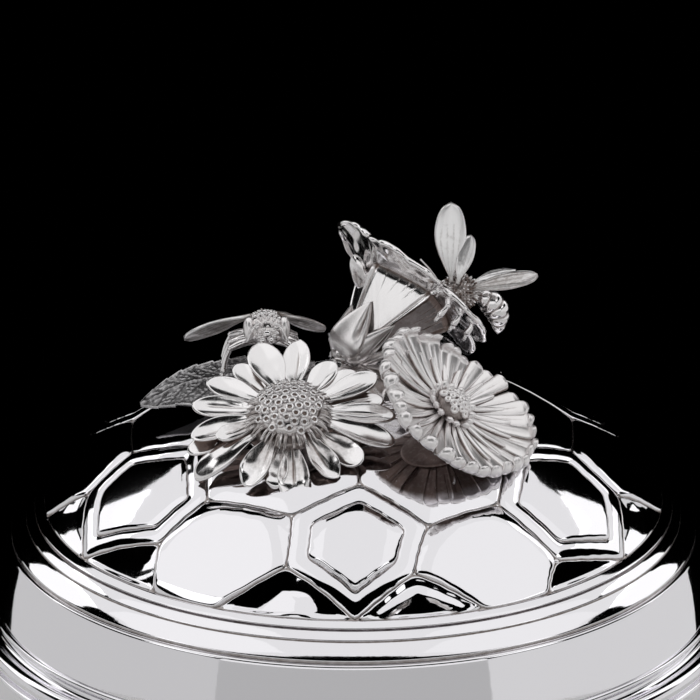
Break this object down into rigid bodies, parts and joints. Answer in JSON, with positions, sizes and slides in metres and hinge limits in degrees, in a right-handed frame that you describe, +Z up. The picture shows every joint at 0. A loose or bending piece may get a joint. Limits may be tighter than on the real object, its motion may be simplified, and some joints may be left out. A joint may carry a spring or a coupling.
{
  "type": "lidded sugar bowl",
  "caption": "Round silver sugar bowl with a fluted body on a foot ring and a lift-off domed lid, chased with honeycomb and topped by a cast finial of flowers, leaves and bees.",
  "frame": {"origin": "centre of the plane that the foot ring rests on", "axes": "+Z up along the bowl's axis, -Y towards the front, where the daisy faces, +X to the right"},
  "size_m": [0.1098, 0.1098, 0.1313],
  "materials": {
    "polished_silver": "mirror-polished sterling silver",
    "cast_silver": "cast and chased silver, polished on the high spots, oxidised in the recesses",
    "silver_fittings": "turned silver, satin"
  },
  "bodies": {
    "bowl": {"bowl_wall": "polished_silver", "bowl_rim_moulding": "polished_silver", "bowl_rim_wire": "polished_silver", "foot_collar": "polished_silver", "foot_ring": "polished_silver"},
    "lid": {"lid_dome": "polished_silver", "lid_shoulder_moulding": "polished_silver", "lid_band": "polished_silver", "lid_band_wire": "polished_silver", "lid_bezel": "polished_silver", "finial_boss": "cast_silver", "finial_stud": "silver_fittings", "finial_washer": "silver_fittings", "finial_nut": "silver_fittings", "daisy_outer_petals": "cast_silver", "daisy_inner_petals": "cast_silver", "daisy_button": "cast_silver", "daisy_stem": "cast_silver", "aster_outer_petals": "cast_silver", "aster_inner_petals": "cast_silver", "aster_button": "cast_silver", "aster_stem": "cast_silver", "bell_flower": "cast_silver", "bell_calyx": "cast_silver", "bell_pistil": "cast_silver", "bell_stem": "cast_silver", "left_leaf": "cast_silver", "back_leaf": "cast_silver", "left_bee_body": "cast_silver", "left_bee_wings": "cast_silver", "left_bee_legs": "cast_silver", "right_bee_body": "cast_silver", "right_bee_wings": "cast_silver", "right_bee_legs": "cast_silver"}
  },
  "joints": [
    {"name": "lid_lift", "type": "slide", "parent": "bowl", "child": "lid", "axis": [0, 0, 1], "range_m": [0, 0.08]}
  ]
}
